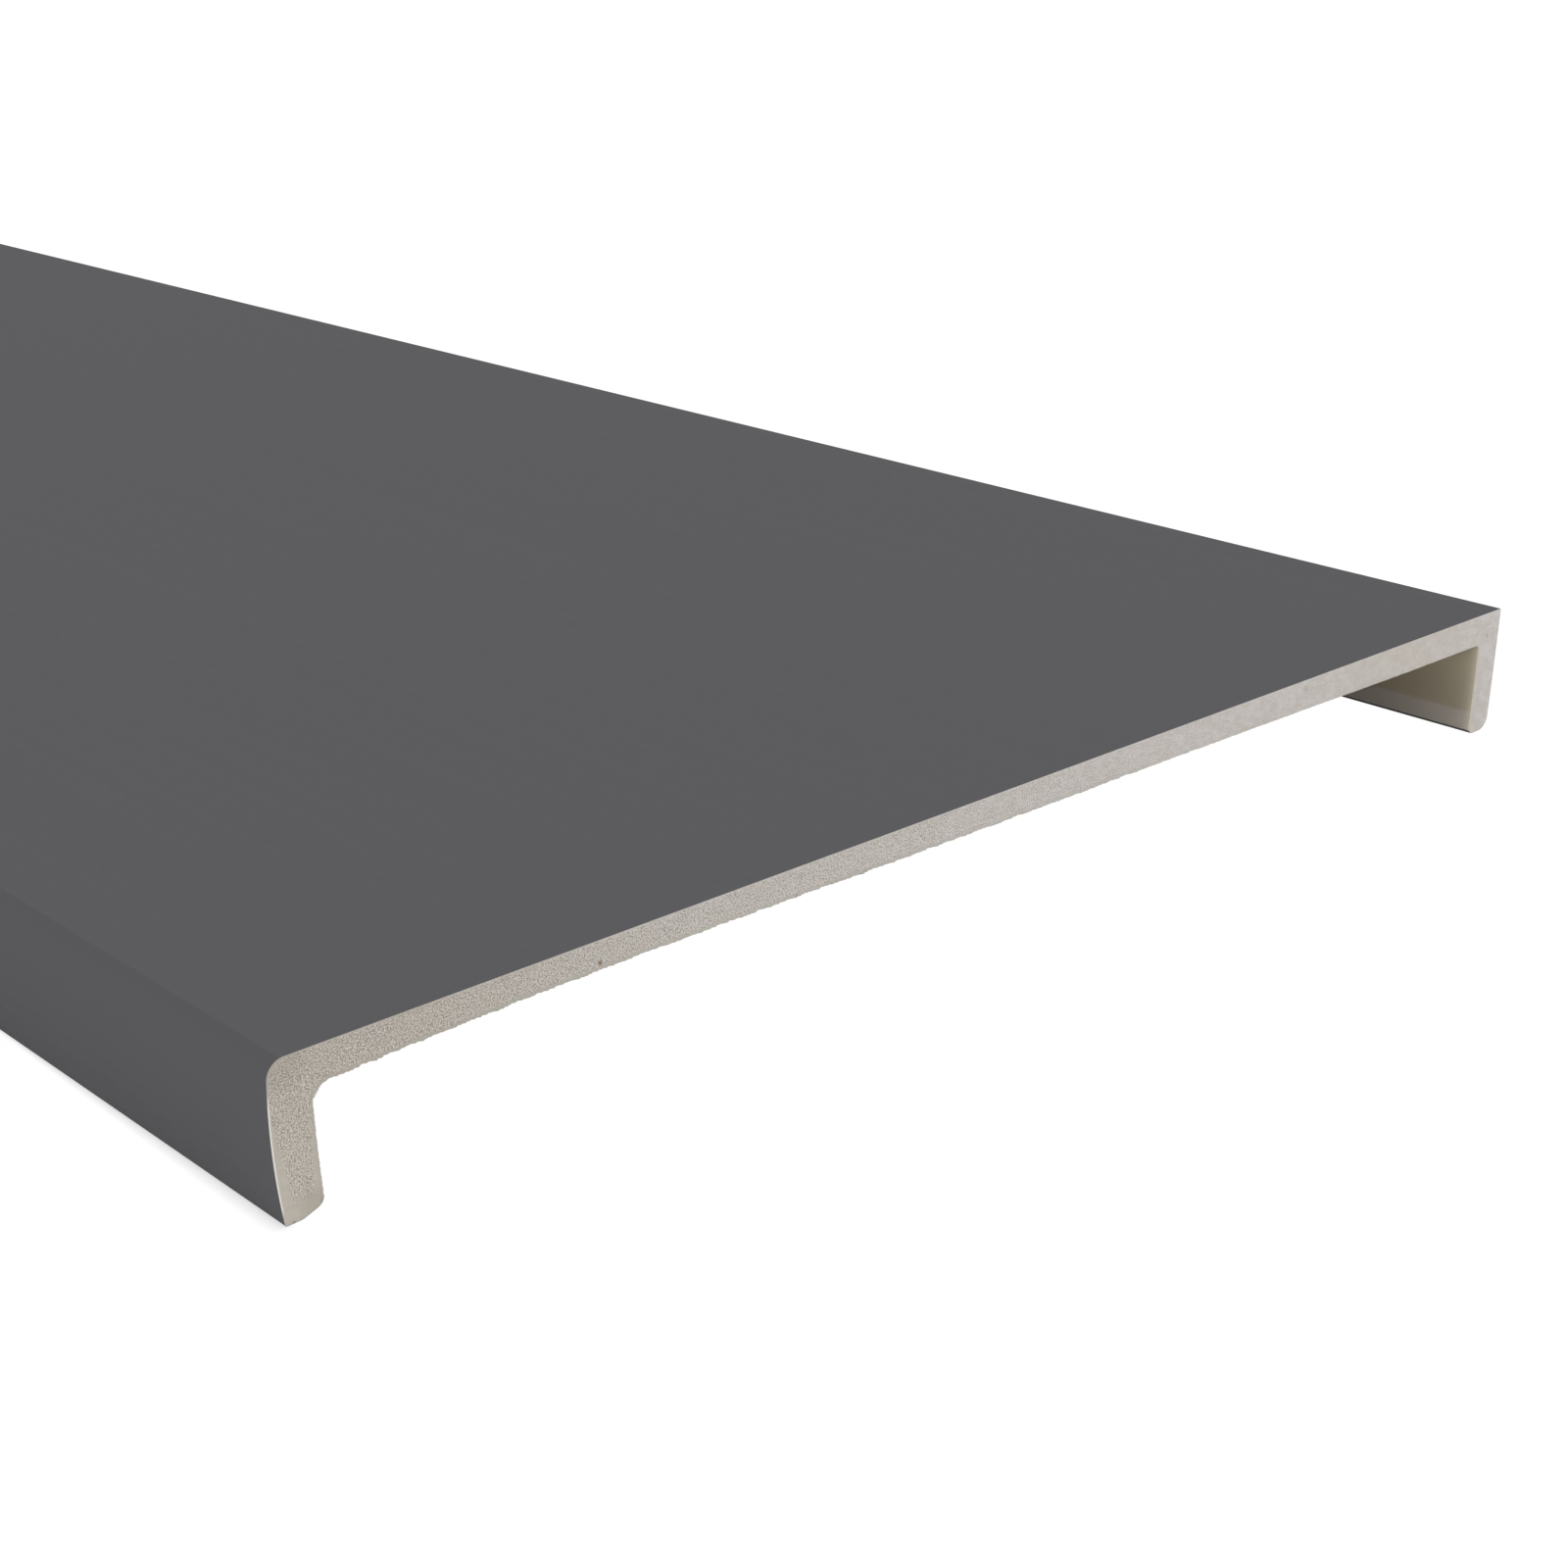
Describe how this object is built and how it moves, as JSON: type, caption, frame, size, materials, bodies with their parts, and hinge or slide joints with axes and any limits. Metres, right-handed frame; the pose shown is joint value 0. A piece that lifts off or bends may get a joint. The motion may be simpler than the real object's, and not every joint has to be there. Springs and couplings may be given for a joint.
{
  "type": "fascia board",
  "caption": "Flat extruded foam PVC cover board, its two long edges turned down into short legs, sawn square at both ends.",
  "frame": {"origin": "on the floor under the middle of the board, level with the tips of the two legs it lies on", "axes": "+X across the width from the round-cornered leg to the square-cornered leg, +Y along the length, +Z out of the show face"},
  "size_m": [0.4055, 1.25, 0.0352],
  "materials": {
    "foam_pvc": "matte"
  },
  "bodies": {
    "root": {"fascia_board": "foam_pvc"}
  },
  "joints": []
}
